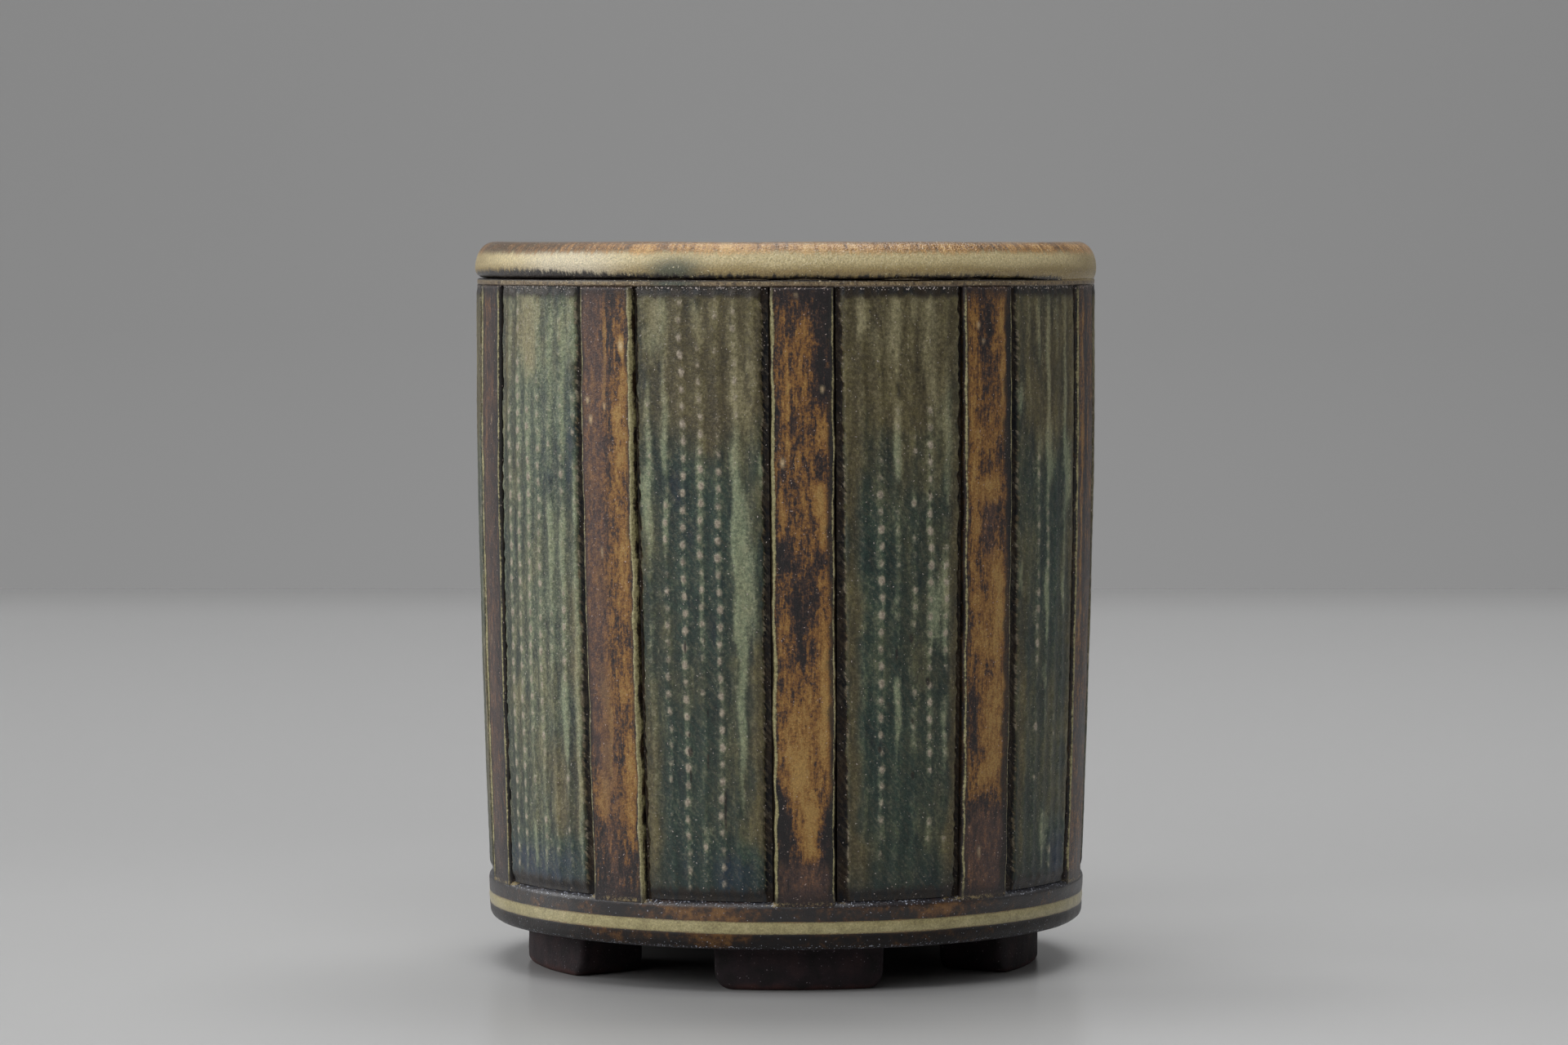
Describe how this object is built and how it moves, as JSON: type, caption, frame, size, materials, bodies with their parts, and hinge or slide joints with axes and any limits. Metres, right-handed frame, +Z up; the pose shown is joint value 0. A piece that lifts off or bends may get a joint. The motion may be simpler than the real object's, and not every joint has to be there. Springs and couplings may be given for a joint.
{
  "type": "footed vase",
  "caption": "Footed stoneware cylinder vase with smooth staves, ribbed panels between them and a rolled rim; holds brushes or flowers.",
  "frame": {"origin": "centre of the footprint on the table, at the underside of the feet", "axes": "+Z up along the vase's axis; the side seen in the picture faces -Y"},
  "size_m": [0.1146, 0.1146, 0.1327],
  "materials": {
    "stave_glaze": "satin glaze mottled from umber to ochre",
    "panel_glaze": "satin blue-green glaze that breaks pale on the ribs",
    "rim_glaze": "satin cream and amber glaze",
    "base_glaze": "satin dark brown glaze with rust patches",
    "slip_line": "matt pale slip",
    "inside_glaze": "satin brown glaze",
    "foot_clay": "bare matt stoneware, dark purple-brown"
  },
  "bodies": {
    "root": {"floor_slab": "inside_glaze", "wall": "inside_glaze", "base_band": "base_glaze", "slip_line": "slip_line", "shoulder_ring": "rim_glaze", "rim_roll": "rim_glaze", "stave_1": "stave_glaze", "stave_2": "stave_glaze", "stave_3": "stave_glaze", "stave_4": "stave_glaze", "stave_5": "stave_glaze", "stave_6": "stave_glaze", "stave_7": "stave_glaze", "stave_8": "stave_glaze", "stave_9": "stave_glaze", "stave_10": "stave_glaze", "panel_1": "panel_glaze", "panel_2": "panel_glaze", "panel_3": "panel_glaze", "panel_4": "panel_glaze", "panel_5": "panel_glaze", "panel_6": "panel_glaze", "panel_7": "panel_glaze", "panel_8": "panel_glaze", "panel_9": "panel_glaze", "panel_10": "panel_glaze", "foot_1": "foot_clay", "foot_2": "foot_clay", "foot_3": "foot_clay", "foot_4": "foot_clay", "foot_5": "foot_clay"}
  },
  "joints": []
}
